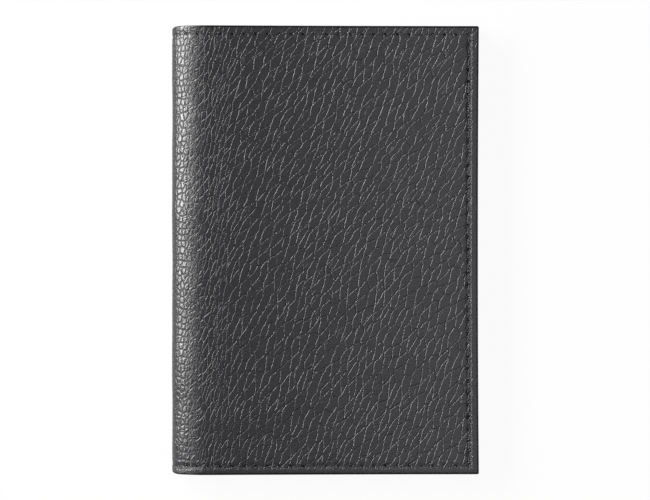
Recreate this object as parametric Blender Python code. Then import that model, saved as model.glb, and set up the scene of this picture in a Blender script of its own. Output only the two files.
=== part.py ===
"""A stitched leather cover for a travel document, closed and lying on its back leaf.

Metres, +Z up. The spine fold is at -X, the fore-edge at +X and the head of the cover at +Y.
The origin is under the middle of the cover, on the face that it lies on.

Every layer is cut from flat sheet, so each one is drawn in sheet coordinates:
  run     distance along the outer skin, square to the spine. 0 is where the back leaf
          starts to curl. It falls towards the back leaf's fore-edge and grows over the
          spine to the front leaf's.
  height  distance up the cover, along Y.
  depth   distance inwards from the outer skin.
bend() turns such a place into a point of the closed cover.
"""

import cmath
import math

import bmesh
import bpy
from mathutils import Matrix, Vector

# Outline of the closed cover
COVER_HEIGHT = 0.140
COVER_WIDTH = 0.096
CORNER_RADIUS = 0.0005

# Course of the outer skin round the spine, seen from the foot of the cover
BACK_ROLL_RADIUS = 0.0046
FRONT_ROLL_RADIUS = 0.0040
FRONT_ROLL_TURN = math.radians(55)
SHOULDER_RADIUS = 0.017
FRONT_LEAF_BOW = math.radians(2.5)
FORE_EDGE_GAP = 0.0010

# The head and the foot of the spine are drawn in where the fold is tightest
SPINE_PULL = 0.0006
SPINE_PULL_SPREAD = 0.0024

# Walls of the layers, from the outer skin inwards
SHELL_WALL = 0.0011
BOARD_WALL = 0.0004
LINING_WALL = 0.0005
SLEEVE_WALL = 0.0007
LAYER_GAP = 0.0002
POCKET_ROOM = 0.0004

# Boards and sleeves
BOARD_MARGIN = 0.0046
BOARD_FOLD_MARGIN = 0.0030
BOARD_CORNER = 0.0020
SLEEVE_WIDTH = 0.062
PRESS_RAMP = 0.0012

# Seam and cut edge
SEAM_MARGIN = 0.0027
STITCH_PITCH = 0.0037
THREAD_DIAMETER = 0.0003
THREAD_DIP = 0.00015
THREAD_CLEARANCE = 0.00015
THREAD_STEP = 0.0009
SEAM_BANK = 0.0003
EDGE_ROUND = 0.0003

# The fold bends on an even number of lines, between narrow strips
FOLD_LINES = 6
FOLD_GAP = 0.0003

# Fineness of the faceted solids
LEAF_STEPS = 8
HEIGHT_STEPS = 6
STRIP_STEPS = 3
CORNER_STEPS = 3
STITCH_SHARES = (0.22, 0.78)
SHARP_ANGLE = math.radians(35)
SLOPE_PASSES = 20
TOP_STEPS = 400

# Depths that follow from the walls
BOARD_DEPTH = SHELL_WALL + LAYER_GAP
LINING_DEPTH = SHELL_WALL + LAYER_GAP
LINING_STEP = BOARD_WALL + LAYER_GAP
LEAF_WALL = LINING_DEPTH + LINING_STEP + LINING_WALL + POCKET_ROOM + SLEEVE_WALL

# The groove that the seam is sunk in holds the thread flush with the skin
GROOVE_DEPTH = THREAD_DIAMETER + THREAD_DIP + THREAD_CLEARANCE
GROOVE_FLOOR = THREAD_DIAMETER / 2 + THREAD_CLEARANCE
GROOVE_REACH = GROOVE_FLOOR + SEAM_BANK

HALF_HEIGHT = COVER_HEIGHT / 2
QUARTER_TURN = math.pi / 2
SHOULDER_TURN = QUARTER_TURN - FRONT_ROLL_TURN


def clear_scene():
    for old in list(bpy.data.objects):
        bpy.data.objects.remove(old, do_unlink=True)


def arc_end(start, heading, turn, radius):
    """Where an arc that turns clockwise from a heading in the XZ plane ends."""
    after = heading - turn
    across = radius * (math.sin(heading) - math.sin(after))
    up = radius * (math.cos(after) - math.cos(heading))
    return (start[0] + across, start[1] + up), after


def plan_course():
    """The arcs of the outer skin as (start, heading, turn, length), from the back leaf on.

    The front leaf slopes down from the spine until its sleeve rests just above the back
    leaf's at the fore-edge. Its slope changes the shoulder that leads into it, so the two
    are settled together in a few passes.
    """
    rest_height = 2 * LEAF_WALL + FORE_EDGE_GAP
    slope = 0.0
    for _ in range(SLOPE_PASSES):
        root_slope = slope + FRONT_LEAF_BOW / 2
        at, heading = (BACK_ROLL_RADIUS - COVER_WIDTH / 2, 0.0), math.pi
        arcs = []
        for turn, radius in (
            (QUARTER_TURN, BACK_ROLL_RADIUS),
            (FRONT_ROLL_TURN, FRONT_ROLL_RADIUS),
            (SHOULDER_TURN + root_slope, SHOULDER_RADIUS),
        ):
            arcs.append((at, heading, turn, turn * radius))
            at, heading = arc_end(at, heading, turn, radius)
        across = COVER_WIDTH / 2 - at[0]
        fall = at[1] - rest_height
        slope = math.atan2(fall, across)
    chord = math.hypot(across, fall)
    leaf_length = chord * (FRONT_LEAF_BOW / 2) / math.sin(FRONT_LEAF_BOW / 2)
    arcs.append((at, heading, -FRONT_LEAF_BOW, leaf_length))
    return arcs, slope


COURSE, FRONT_SLOPE = plan_course()
FOLD_END = sum(length for _, _, _, length in COURSE[:3])
FOLD_TURN = sum(turn for _, _, turn, _ in COURSE[:3])
FRONT_EDGE = FOLD_END + COURSE[3][3]
BACK_EDGE = BACK_ROLL_RADIUS - COVER_WIDTH
SPINE_LINE = COURSE[0][3]


def course_at(run):
    """Point and heading of the outer skin, in the XZ plane."""
    start, heading, _, _ = COURSE[0]
    if run <= 0:
        return (start[0] - run, start[1]), heading
    for start, heading, turn, length in COURSE:
        if run <= length or turn < 0:
            return arc_end(start, heading, turn * run / length, length / turn)
        run -= length


def bend(run, height, depth):
    """A place on the flat sheet as a point of the closed cover."""
    (x, z), heading = course_at(run)
    return Vector((x + depth * math.sin(heading), height, z - depth * math.cos(heading)))


def run_at_turn(wanted):
    """How far along the skin the fold has turned by an angle."""
    run = 0.0
    for _, _, turn, length in COURSE[:3]:
        if wanted <= turn:
            return run + length * wanted / turn
        run += length
        wanted -= turn
    return run


def from_fore_edge(run):
    return min(run - BACK_EDGE, FRONT_EDGE - run)


def from_fold(run):
    return max(-run, run - FOLD_END)


def half_height(run):
    """Half the height of the outline there, with the rounded corners and the drawn-in spine."""
    edge = from_fore_edge(run)
    corner = 0.0
    if edge < CORNER_RADIUS:
        reach = CORNER_RADIUS - edge
        corner = CORNER_RADIUS - math.sqrt(max(CORNER_RADIUS**2 - reach**2, 0.0))
    pull = SPINE_PULL * math.exp(-(((run - SPINE_LINE) / SPINE_PULL_SPREAD) ** 2))
    return HALF_HEIGHT - corner - pull


def from_rim(run, height):
    """Distance in from the nearest cut edge of the sheet."""
    return min(from_fore_edge(run), half_height(run) - abs(height))


def ramp(value, start, end):
    return min(max((value - start) / (end - start), 0.0), 1.0)


def over_board(run, height):
    """1 over the board, 0 where the layers are pressed together, with a ramp between."""
    inside = min(
        from_rim(run, height) - BOARD_MARGIN, from_fold(run) - BOARD_FOLD_MARGIN
    )
    return ramp(inside, -PRESS_RAMP, 0.0)


def shell_face(run, height):
    """Depth of the shell's outer face: rounded at the cut edge, pressed in along the seam."""
    rim = from_rim(run, height)
    edge = EDGE_ROUND * (1 - ramp(rim, 0.0, EDGE_ROUND))
    beside = abs(rim - SEAM_MARGIN)
    groove = GROOVE_DEPTH * (1 - ramp(beside, GROOVE_FLOOR, GROOVE_REACH))
    return edge + groove


def shell_back(run, height):
    return SHELL_WALL


def lining_face(run, height):
    return LINING_DEPTH + LINING_STEP * over_board(run, height)


def lining_back(run, height):
    return lining_face(run, height) + LINING_WALL


def sleeve_face(run, height):
    room = (POCKET_ROOM - LAYER_GAP) * over_board(run, height)
    return lining_back(run, height) + LAYER_GAP + room


def sleeve_back(run, height):
    rim = from_rim(run, height)
    edge = EDGE_ROUND * (1 - ramp(rim, 0.0, EDGE_ROUND))
    return sleeve_face(run, height) + SLEEVE_WALL - edge


def make_material(name, colour, roughness):
    material = bpy.data.materials.new(name)
    material.use_nodes = True
    shader = material.node_tree.nodes["Principled BSDF"]
    shader.inputs["Base Color"].default_value = (*colour, 1.0)
    shader.inputs["Roughness"].default_value = roughness
    shader.inputs["Metallic"].default_value = 0.0
    return material


def add_solid(name, shape, material, pivot):
    """The closed shape as an object, hung from the empty that its body turns with."""
    bmesh.ops.recalc_face_normals(shape, faces=shape.faces)
    mesh = bpy.data.meshes.new(name)
    shape.to_mesh(mesh)
    shape.free()
    mesh.shade_smooth()
    mesh.set_sharp_from_angle(angle=SHARP_ANGLE)
    mesh.materials.append(material)
    solid = bpy.data.objects.new(name, mesh)
    bpy.context.scene.collection.objects.link(solid)
    if pivot:
        mesh.transform(Matrix.Translation(-pivot.matrix_world.translation))
        solid.parent = pivot


def add_tube(name, places, material, pivot):
    """A closed solid through a row of rings, each a list of as many places."""
    shape = bmesh.new()
    rings = [[shape.verts.new(place) for place in ring] for ring in places]
    for ring, following in zip(rings, rings[1:]):
        for i in range(len(ring)):
            j = (i + 1) % len(ring)
            shape.faces.new((ring[i], ring[j], following[j], following[i]))
    shape.faces.new(rings[0])
    shape.faces.new(rings[-1])
    add_solid(name, shape, material, pivot)


def add_sheet(name, runs, shares, face, back, material, pivot):
    """A closed solid between two depths of the bent sheet.

    runs are its lines along the spine, shares its lines across, from -1 at the foot to 1
    at the head. face and back give the depth of its two sides at a run and height.
    """
    shape = bmesh.new()
    skins = []
    for depth in (face, back):
        rows = []
        for run in runs:
            reach = half_height(run)
            rows.append(
                [
                    shape.verts.new(bend(run, share * reach, depth(run, share * reach)))
                    for share in shares
                ]
            )
        skins.append(rows)
    last_row, last_share = len(runs) - 1, len(shares) - 1
    for rows in skins:
        for i in range(last_row):
            for j in range(last_share):
                shape.faces.new(
                    (rows[i][j], rows[i + 1][j], rows[i + 1][j + 1], rows[i][j + 1])
                )
    top, under = skins
    for i in range(last_row):
        for j in (0, last_share):
            shape.faces.new((top[i][j], top[i + 1][j], under[i + 1][j], under[i][j]))
    for j in range(last_share):
        for i in (0, last_row):
            shape.faces.new((top[i][j], top[i][j + 1], under[i][j + 1], under[i][j]))
    add_solid(name, shape, material, pivot)


def even_steps(start, end, steps):
    return [start + (end - start) * i / steps for i in range(steps + 1)]


def rim_distances(marks):
    """Distances in from a cut edge at which a layer's wall changes, with the corner's arc."""
    arc = [
        CORNER_RADIUS * (1 - math.cos(QUARTER_TURN * i / CORNER_STEPS))
        for i in range(CORNER_STEPS + 1)
    ]
    return sorted({round(mark, 7) for mark in (*arc, *marks)})


EDGE_MARKS = (EDGE_ROUND,)
SEAM_MARKS = (
    SEAM_MARGIN - GROOVE_REACH,
    SEAM_MARGIN - GROOVE_FLOOR,
    SEAM_MARGIN + GROOVE_FLOOR,
    SEAM_MARGIN + GROOVE_REACH,
)
BOARD_MARKS = (BOARD_MARGIN - PRESS_RAMP, BOARD_MARGIN)


def height_shares(marks):
    """Lines across a sheet, as shares of its half height, close together near both ends."""
    near = sorted({0.0, *marks})
    middle = even_steps(near[-1], COVER_HEIGHT - near[-1], HEIGHT_STEPS)[1:-1]
    far = [COVER_HEIGHT - mark for mark in reversed(near)]
    return [distance / HALF_HEIGHT - 1 for distance in (*near, *middle, *far)]


def leaf_runs(front, marks, inner_end, fold_marks=()):
    """Lines along a leaf, from its fore-edge in to a distance from that edge."""
    near = rim_distances(marks)
    stop = min(fold_marks, default=inner_end)
    middle = even_steps(near[-1], stop, LEAF_STEPS)[1:]
    distances = sorted({round(d, 7) for d in (*near, *middle, *fold_marks, inner_end)})
    if front:
        return [FRONT_EDGE - distance for distance in distances]
    return [BACK_EDGE + distance for distance in distances]


def line_runs():
    """Where the fold lines lie: the fold turns by the same angle between each two."""
    share = FOLD_TURN / FOLD_LINES
    return [run_at_turn(share * (i + 0.5)) for i in range(FOLD_LINES)]


def shared_axis(lines, turn):
    """The one axis about which a single turn does what equal turns about all the lines do."""
    swing = cmath.rect(1.0, turn)
    moved = 0j
    for line in reversed(lines):
        place = complex(line.x, line.z)
        moved = place + swing * (moved - place)
    fixed = moved / (1 - swing ** len(lines))
    return Vector((fixed.real, 0.0, fixed.imag))


def add_pivot(name, place, carrier):
    """An empty on a hinge line along Y, hung from the empty that carries it."""
    pivot = bpy.data.objects.new(name, None)
    bpy.context.scene.collection.objects.link(pivot)
    pivot.empty_display_size = SHELL_WALL
    pivot.location = place
    if carrier:
        pivot.parent = carrier
        pivot.location = place - carrier.matrix_world.translation
    bpy.context.view_layer.update()
    print(f"{name} at x {place.x:.6f} z {place.z:.6f}")
    return pivot


def add_pivots(line_places):
    """The empties that the strips hang from, in order, and the front leaf's.

    The middle strip swings about an axis that stands for the first half of the fold lines,
    and carries the front leaf on an axis that stands for the other half. The strips between
    fold line by line. They meet the middle strip and the leaf when closed and when flat.
    """
    half = FOLD_LINES // 2
    opening = (math.pi + FRONT_SLOPE) / FOLD_LINES
    print(f"each fold line opens by {math.degrees(opening):.3f} degrees")
    middle = add_pivot("back_fold_axis", shared_axis(line_places[:half], opening), None)
    front = add_pivot("front_fold_axis", shared_axis(line_places[half:], opening), middle)
    pivots = []
    carrier = None
    for number, place in enumerate(line_places, 1):
        carrier = add_pivot(f"fold_line_{number}", place, carrier)
        pivots.append(carrier)
        if number == half:
            carrier = middle
            pivots.append(middle)
    return pivots, front


def add_board(name, front, fold_start, material, pivot):
    """The stiffener: a thin board between shell and lining, with rounded corners."""
    first = BOARD_MARGIN + LAYER_GAP
    last = fold_start - BOARD_FOLD_MARGIN - LAYER_GAP
    half = HALF_HEIGHT - first
    corner = []
    for angle in even_steps(0.0, QUARTER_TURN, CORNER_STEPS):
        inset = BOARD_CORNER * (1 - math.cos(angle))
        drop = BOARD_CORNER * (1 - math.sin(angle))
        corner.append((inset, half - drop))
    middle = even_steps(first + BOARD_CORNER, last - BOARD_CORNER, LEAF_STEPS)[1:-1]
    edges = [(first + inset, reach) for inset, reach in corner]
    edges += [(distance, half) for distance in middle]
    edges += [(last - inset, reach) for inset, reach in reversed(corner)]
    under = BOARD_DEPTH + BOARD_WALL
    rings = []
    for distance, reach in edges:
        run = FRONT_EDGE - distance if front else BACK_EDGE + distance
        outline = ((-reach, BOARD_DEPTH), (reach, BOARD_DEPTH), (reach, under), (-reach, under))
        rings.append([bend(run, height, depth) for height, depth in outline])
    add_tube(name, rings, material, pivot)


def stitch_line(start, end):
    """Places along one straight row of stitches as (place, raised), up to the last hole.

    raised is 0 in a needle hole, at which the thread dips, and 1 on top of the leather.
    """
    stitches = max(round(math.dist(start, end) / STITCH_PITCH), 1)
    line = []
    for number in range(stitches):
        for share in (0.0, *STITCH_SHARES):
            along = (number + share) / stitches
            place = [a + (b - a) * along for a, b in zip(start, end)]
            line.append((place, share > 0.0))
    return line


def add_thread(name, front, fold_end, depth, material, pivot):
    """One thread of the seam: along the head, down the fore-edge and back along the foot.

    depth gives the depth of the thread's middle at a run, in a hole or raised on top.
    """
    edge = FRONT_EDGE - SEAM_MARGIN if front else BACK_EDGE + SEAM_MARGIN
    reach = HALF_HEIGHT - SEAM_MARGIN
    radius = THREAD_DIAMETER / 2
    corners = ((fold_end, reach), (edge, reach), (edge, -reach), (fold_end, -reach))
    asides = ((0, 1), (1 if front else -1, 0), (0, -1))
    places = []
    before = (0, 0)
    for start, end, aside in zip(corners, corners[1:], asides):
        for place, raised in stitch_line(start, end):
            places.append((place, raised, (aside[0] + before[0], aside[1] + before[1])))
            before = (0, 0)
        before = aside
    places.append((corners[-1], False, asides[-1]))
    rings = []
    for (run, height), raised, aside in places:
        middle = depth(run, raised)
        ring = []
        for sideways, inwards in ((radius, 0), (0, radius), (-radius, 0), (0, -radius)):
            place = (run + aside[0] * sideways, height + aside[1] * sideways)
            ring.append(bend(*place, middle + inwards))
        rings.append(ring)
    add_tube(name, rings, material, pivot)


def needle_depth(run, raised):
    """The needle thread lies in the shell's groove and is flush with the skin on top."""
    return THREAD_DIAMETER / 2 + (0.0 if raised else THREAD_DIP)


def bobbin_depth(run, raised):
    """The bobbin thread lies on the sleeve and steps down to the lining at its mouth."""
    rim = HALF_HEIGHT - SEAM_MARGIN
    on_sleeve = sleeve_back(run, rim)
    on_lining = lining_back(run, rim)
    beyond = from_fore_edge(run) - SLEEVE_WIDTH - THREAD_CLEARANCE - THREAD_DIAMETER / 2
    under = on_sleeve + (on_lining - on_sleeve) * ramp(beyond, 0.0, THREAD_STEP)
    return under + THREAD_CLEARANCE + THREAD_DIAMETER / 2 + (THREAD_DIP if raised else 0.0)


def add_leaf(side, inner_run, materials, pivot):
    """One leaf of the cover: shell, board, lining and sleeve."""
    front = side == "front"
    reach = from_fore_edge(inner_run) - FOLD_GAP / 2
    fold_start = from_fore_edge(FOLD_END if front else 0.0)
    curl = even_steps(fold_start, reach, STRIP_STEPS) if reach > fold_start else [reach]
    shell_runs = leaf_runs(front, (*EDGE_MARKS, *SEAM_MARKS), reach, curl)
    add_sheet(
        f"{side}_shell",
        shell_runs,
        height_shares((*EDGE_MARKS, *SEAM_MARKS)),
        shell_face,
        shell_back,
        materials["shell"],
        pivot,
    )
    add_board(f"{side}_board", front, fold_start, materials["board"], pivot)
    board_end = fold_start - BOARD_FOLD_MARGIN
    lining_runs = leaf_runs(
        front, BOARD_MARKS, reach, (board_end, board_end + PRESS_RAMP, *curl)
    )
    add_sheet(
        f"{side}_lining",
        lining_runs,
        height_shares(BOARD_MARKS),
        lining_face,
        lining_back,
        materials["lining"],
        pivot,
    )
    add_sheet(
        f"{side}_sleeve",
        leaf_runs(front, (*EDGE_MARKS, *BOARD_MARKS), SLEEVE_WIDTH),
        height_shares((*EDGE_MARKS, *BOARD_MARKS)),
        sleeve_face,
        sleeve_back,
        materials["sleeve"],
        pivot,
    )
    seam_end = shell_runs[-1] + (THREAD_STEP if front else -THREAD_STEP)
    for thread, depth in (("needle", needle_depth), ("bobbin", bobbin_depth)):
        name = f"{side}_{thread}_thread"
        add_thread(name, front, seam_end, depth, materials["thread"], pivot)


def add_spine_strip(number, start, end, materials, pivot):
    """One strip of the spine: a slice of the shell and of the lining behind it."""
    runs = even_steps(start + FOLD_GAP / 2, end - FOLD_GAP / 2, STRIP_STEPS)
    add_sheet(
        f"spine_shell_{number}",
        runs,
        height_shares((*EDGE_MARKS, *SEAM_MARKS)),
        shell_face,
        shell_back,
        materials["shell"],
        pivot,
    )
    add_sheet(
        f"spine_lining_{number}",
        runs,
        height_shares(EDGE_MARKS),
        lining_face,
        lining_back,
        materials["lining"],
        pivot,
    )


def main():
    clear_scene()
    materials = {
        "shell": make_material("grained_leather", (0.048, 0.047, 0.050), 0.5),
        "lining": make_material("lining_leather", (0.040, 0.039, 0.041), 0.6),
        "sleeve": make_material("sleeve_leather", (0.046, 0.045, 0.047), 0.55),
        "board": make_material("stiffener_board", (0.30, 0.27, 0.23), 0.9),
        "thread": make_material("seam_thread", (0.085, 0.083, 0.087), 0.7),
    }
    lines = line_runs()
    pivots, front_pivot = add_pivots([bend(run, 0.0, 0.0) for run in lines])
    cuts = sorted((*lines, run_at_turn(FOLD_TURN / 2), FOLD_END))
    add_leaf("back", cuts[0], materials, None)
    for number, pivot in enumerate(pivots, 1):
        add_spine_strip(number, cuts[number - 1], cuts[number], materials, pivot)
    add_leaf("front", cuts[-1], materials, front_pivot)
    top = max(bend(run, 0.0, 0.0).z for run in even_steps(0.0, FRONT_EDGE, TOP_STEPS))
    print(f"thickness at the spine {top * 1000:.3f} mm, leaf {LEAF_WALL * 1000:.2f} mm")
    print(f"flat width {(FRONT_EDGE - BACK_EDGE) * 1000:.2f} mm")


main()
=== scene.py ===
# %% [markdown]
# # A stitched leather travel document cover
#
# The real object is a flat sandwich of leather and board that is folded once. A pebbled shell
# makes the outside, a thin lining the inside, two sleeves hold the booklet, and one seam runs
# near the edge through all of it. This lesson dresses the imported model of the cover: it builds
# each layer as a fine mesh on the same bent sheet as the solid model, and paints it with
# procedural leather.

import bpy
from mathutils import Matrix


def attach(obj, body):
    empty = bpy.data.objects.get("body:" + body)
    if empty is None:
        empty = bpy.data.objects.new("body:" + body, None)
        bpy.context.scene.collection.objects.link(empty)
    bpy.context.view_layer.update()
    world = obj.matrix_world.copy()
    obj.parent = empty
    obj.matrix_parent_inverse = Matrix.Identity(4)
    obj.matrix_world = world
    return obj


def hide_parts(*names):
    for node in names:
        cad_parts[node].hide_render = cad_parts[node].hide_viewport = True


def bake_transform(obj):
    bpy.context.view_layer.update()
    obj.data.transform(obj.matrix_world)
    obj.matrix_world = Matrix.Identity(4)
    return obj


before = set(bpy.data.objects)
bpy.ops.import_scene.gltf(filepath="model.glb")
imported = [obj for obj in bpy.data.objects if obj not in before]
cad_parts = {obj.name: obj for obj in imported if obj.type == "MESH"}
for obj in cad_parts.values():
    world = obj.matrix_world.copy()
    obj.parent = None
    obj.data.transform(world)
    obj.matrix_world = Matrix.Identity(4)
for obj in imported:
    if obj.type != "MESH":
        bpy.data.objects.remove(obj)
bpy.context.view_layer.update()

# %% [markdown]
# ## The sizes
#
# Everything is cut from flat sheet, so the work is done on the flat: `run` goes round the
# cover square to the spine, `height` up the cover and `depth` inwards from the outer skin.
# The numbers are the solid model's own, so that each layer lands where its solid is. They
# could also be read back from the mesh, but then nobody could tell what they mean.

# %% Sizes of the cover
import math

import bmesh
import bpy
import numpy as np
from mathutils import Vector

COVER_HEIGHT = 0.140
COVER_WIDTH = 0.096
CORNER_RADIUS = 0.0005
BACK_ROLL_RADIUS = 0.0046
FRONT_ROLL_RADIUS = 0.0040
FRONT_ROLL_TURN = math.radians(55)
SHOULDER_RADIUS = 0.017
FRONT_LEAF_BOW = math.radians(2.5)
FORE_EDGE_GAP = 0.0010
SPINE_PULL = 0.0006
SPINE_PULL_SPREAD = 0.0024
FORE_EDGE_HOLLOW = 0.0003
SETTLE_ROUNDS = 20

SHELL_WALL = 0.0011
BOARD_WALL = 0.0004
LINING_WALL = 0.0005
SLEEVE_WALL = 0.0007
LAYER_GAP = 0.0002
POCKET_ROOM = 0.0004
BOARD_MARGIN = 0.0046
BOARD_FOLD_MARGIN = 0.0030
SLEEVE_WIDTH = 0.062
PRESS_RAMP = 0.0012
SEAM_MARGIN = 0.0027
FORE_SEAM_MARGIN = 0.00308
STITCH_PITCH = 0.0037
FOLD_LINES = 6

LINING_DEPTH = SHELL_WALL + LAYER_GAP
LINING_STEP = BOARD_WALL + LAYER_GAP
LEAF_WALL = LINING_DEPTH + LINING_STEP + LINING_WALL + POCKET_ROOM + SLEEVE_WALL
HALF_HEIGHT = COVER_HEIGHT / 2
QUARTER_TURN = math.pi / 2
MM = 0.001

# %% [markdown]
# ## The bent sheet
#
# Leather doesn't stretch much round a fold, it rolls. So the outer skin is a chain of arcs,
# and a point of the flat sheet is carried to its arc and then moved inwards by its depth.
# A Bend modifier could do one arc, but not three radii in a row with a leaf that bows, and a
# cage would stretch the grain. A formula keeps every millimetre of grain its true length.


# %% Lay out the arcs of the outer skin
def arc_end(start, heading, turn, radius):
    after = heading - turn
    across = radius * (math.sin(heading) - math.sin(after))
    up = radius * (math.cos(after) - math.cos(heading))
    return (start[0] + across, start[1] + up), after


def plan_course():
    """The arcs as (start, heading, turn, length), settled until the front leaf lies true."""
    rest_height = 2 * LEAF_WALL + FORE_EDGE_GAP
    slope = 0.0
    for _ in range(SETTLE_ROUNDS):
        at, heading = (BACK_ROLL_RADIUS - COVER_WIDTH / 2, 0.0), math.pi
        arcs = []
        for turn, radius in (
            (QUARTER_TURN, BACK_ROLL_RADIUS),
            (FRONT_ROLL_TURN, FRONT_ROLL_RADIUS),
            (QUARTER_TURN - FRONT_ROLL_TURN + slope + FRONT_LEAF_BOW / 2, SHOULDER_RADIUS),
        ):
            arcs.append((at, heading, turn, turn * radius))
            at, heading = arc_end(at, heading, turn, radius)
        across, fall = COVER_WIDTH / 2 - at[0], at[1] - rest_height
        slope = math.atan2(fall, across)
    chord = math.hypot(across, fall)
    leaf = chord * (FRONT_LEAF_BOW / 2) / math.sin(FRONT_LEAF_BOW / 2)
    arcs.append((at, heading, -FRONT_LEAF_BOW, leaf))
    return arcs


COURSE = plan_course()
FOLD_END = sum(length for _, _, _, length in COURSE[:3])
FOLD_TURN = sum(turn for _, _, turn, _ in COURSE[:3])
FRONT_EDGE = FOLD_END + COURSE[3][3]
BACK_EDGE = BACK_ROLL_RADIUS - COVER_WIDTH
SPINE_LINE = COURSE[0][3]
print(f"flat width {(FRONT_EDGE - BACK_EDGE) / MM:.2f} mm, fold {FOLD_END / MM:.2f} mm")


# %% Carry points of the flat sheet to the closed cover
def ramp(value, start, end):
    return np.clip((value - start) / (end - start), 0.0, 1.0)


def course_at(run):
    """x, z and heading of the outer skin at each run."""
    (x0, z0), heading0, _, _ = COURSE[0]
    x, z, heading = x0 - run, z0 + 0 * run, heading0 + 0 * run
    begin = 0.0
    for (sx, sz), start, turn, length in COURSE:
        after = start - turn * (run - begin) / length
        radius = length / turn
        on = run > begin
        x = np.where(on, sx + radius * (math.sin(start) - np.sin(after)), x)
        z = np.where(on, sz + radius * (np.cos(after) - math.cos(start)), z)
        heading = np.where(on, after, heading)
        begin += length
    return x, z, heading


def bend(run, height, depth):
    """Points of the closed cover, with the fore-edges drawn in a little at mid height."""
    run, height, depth = np.broadcast_arrays(*(np.asarray(v, float) for v in (run, height, depth)))
    x, z, heading = course_at(run)
    out = np.maximum(ramp(run, FOLD_END, FRONT_EDGE), ramp(-run, 0.0, -BACK_EDGE))
    x = x - FORE_EDGE_HOLLOW * out**2 * (1 - (height / HALF_HEIGHT) ** 2)
    return np.stack((x + depth * np.sin(heading), height, z - depth * np.cos(heading)), -1)


def run_at_turn(wanted):
    run = 0.0
    for _, _, turn, length in COURSE[:3]:
        if wanted <= turn + 1e-9:
            return run + length * wanted / turn
        run, wanted = run + length, wanted - turn
    return run


def from_fore_edge(run):
    return np.minimum(run - BACK_EDGE, FRONT_EDGE - run)


def half_height(run):
    """Half the height of the outline, with rounded corners and the drawn-in spine."""
    reach = np.maximum(CORNER_RADIUS - from_fore_edge(run), 0.0)
    corner = CORNER_RADIUS - np.sqrt(np.maximum(CORNER_RADIUS**2 - reach**2, 0.0))
    pull = SPINE_PULL * np.exp(-(((run - SPINE_LINE) / SPINE_PULL_SPREAD) ** 2))
    return HALF_HEIGHT - corner - pull


def from_rim(run, height):
    return np.minimum(from_fore_edge(run), half_height(run) - np.abs(height))


# %% [markdown]
# ## The seam's rows
#
# The seam is a rectangle near the edge of the flat sheet. Its long rows run along the head and
# the foot, over the spine, and its short rows down the two fore-edges. They share their corner
# holes, so each row is divided into a whole number of stitches. Both the leather's puckers and
# the thread use these same rows, which keeps every stitch over its own hole.

# %% Rows of stitches on the flat sheet
ROW_REACH = HALF_HEIGHT - SEAM_MARGIN
ROW_START = BACK_EDGE + FORE_SEAM_MARGIN
ROW_END = FRONT_EDGE - FORE_SEAM_MARGIN
LONG_STITCHES = round((ROW_END - ROW_START) / STITCH_PITCH)
SHORT_STITCHES = round(2 * ROW_REACH / STITCH_PITCH)
LONG_PITCH = (ROW_END - ROW_START) / LONG_STITCHES
SHORT_PITCH = 2 * ROW_REACH / SHORT_STITCHES
print(f"long rows: {LONG_STITCHES} stitches of {LONG_PITCH / MM:.2f} mm")
print(f"short rows: {SHORT_STITCHES} stitches of {SHORT_PITCH / MM:.2f} mm")

LONG_ROW_SINK = 0.00008
FORE_ROW_SINK = 0.00024
GROOVE_SPREAD = 0.00070
STITCH_PUCKER = 0.35
SEAM_CORNER = 0.001
EDGE_ROUND = 0.00040
HIDE_WAVE = 0.00004
WAVE_MARGIN = 0.006


def seam_sink(run, height):
    """How far the stitches pull the leather in: most at the holes, less between them."""
    to_fore, to_end = from_fore_edge(run), half_height(run) - np.abs(height)
    fore = ramp(to_end - to_fore, -SEAM_CORNER, SEAM_CORNER)
    long_wave = np.cos(2 * math.pi * (run - ROW_START) / LONG_PITCH)
    short_wave = np.cos(2 * math.pi * (height + ROW_REACH) / SHORT_PITCH)
    depth = LONG_ROW_SINK * (1 - fore) + FORE_ROW_SINK * fore
    wave = 1 + STITCH_PUCKER * (long_wave * (1 - fore) + short_wave * fore)
    beside = np.minimum(to_fore - FORE_SEAM_MARGIN, to_end - SEAM_MARGIN) / GROOVE_SPREAD
    return depth * wave * np.exp(-(beside**2))


def edge_fall(rim, radius):
    """A quarter round on a cut edge."""
    inward = np.clip(1 - rim / radius, 0.0, 1.0)
    return radius * (1 - np.sqrt(1 - inward**2))


# %% [markdown]
# ## The depths of each layer
#
# The shell lies outside, then the board, the lining and the sleeve. Over the board the inner
# layers step inwards, and near the edge they are pressed flat together. The painted edge closes
# them, so each layer here reaches its neighbour, with a small round on its edge that leaves the
# fine line one sees between glued layers.


# %% Depth of every face at a place on the sheet
SNUG = 0.00002
MOUTH_ROUND = 0.00025
CREASE_FROM_MOUTH = 0.0024
CREASE_DEPTH = 0.00014
CREASE_SPREAD = 0.00028


def over_board(run, height):
    from_fold = np.maximum(-run, run - FOLD_END)
    inside = np.minimum(from_rim(run, height) - BOARD_MARGIN, from_fold - BOARD_FOLD_MARGIN)
    share = ramp(inside, -PRESS_RAMP, 0.0)
    return share * share * (3 - 2 * share)


def hide_wave(run, height):
    """The slow unevenness of hide that was never quite flat: three waves, in radians per mm."""
    u, v = run / MM, height / MM
    slow = np.sin(0.21 * u + 0.13 * v + 1.0) + np.sin(0.11 * u - 0.27 * v)
    quick = 0.6 * np.sin(0.43 * v + 0.37 * u + 2.0) * np.sin(0.29 * u - 0.17 * v)
    return HIDE_WAVE * (slow + quick)


def shell_outside(run, height):
    rim = from_rim(run, height)
    wave = hide_wave(run, height) * ramp(rim, 0.0, WAVE_MARGIN)
    return edge_fall(rim, EDGE_ROUND) + seam_sink(run, height) + wave + HIDE_WAVE


def shell_inside(run, height):
    return LINING_DEPTH - SNUG + 0 * run


def lining_outside(run, height):
    return LINING_DEPTH + LINING_STEP * over_board(run, height)


def lining_inside(run, height):
    return lining_outside(run, height) + LINING_WALL


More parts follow.
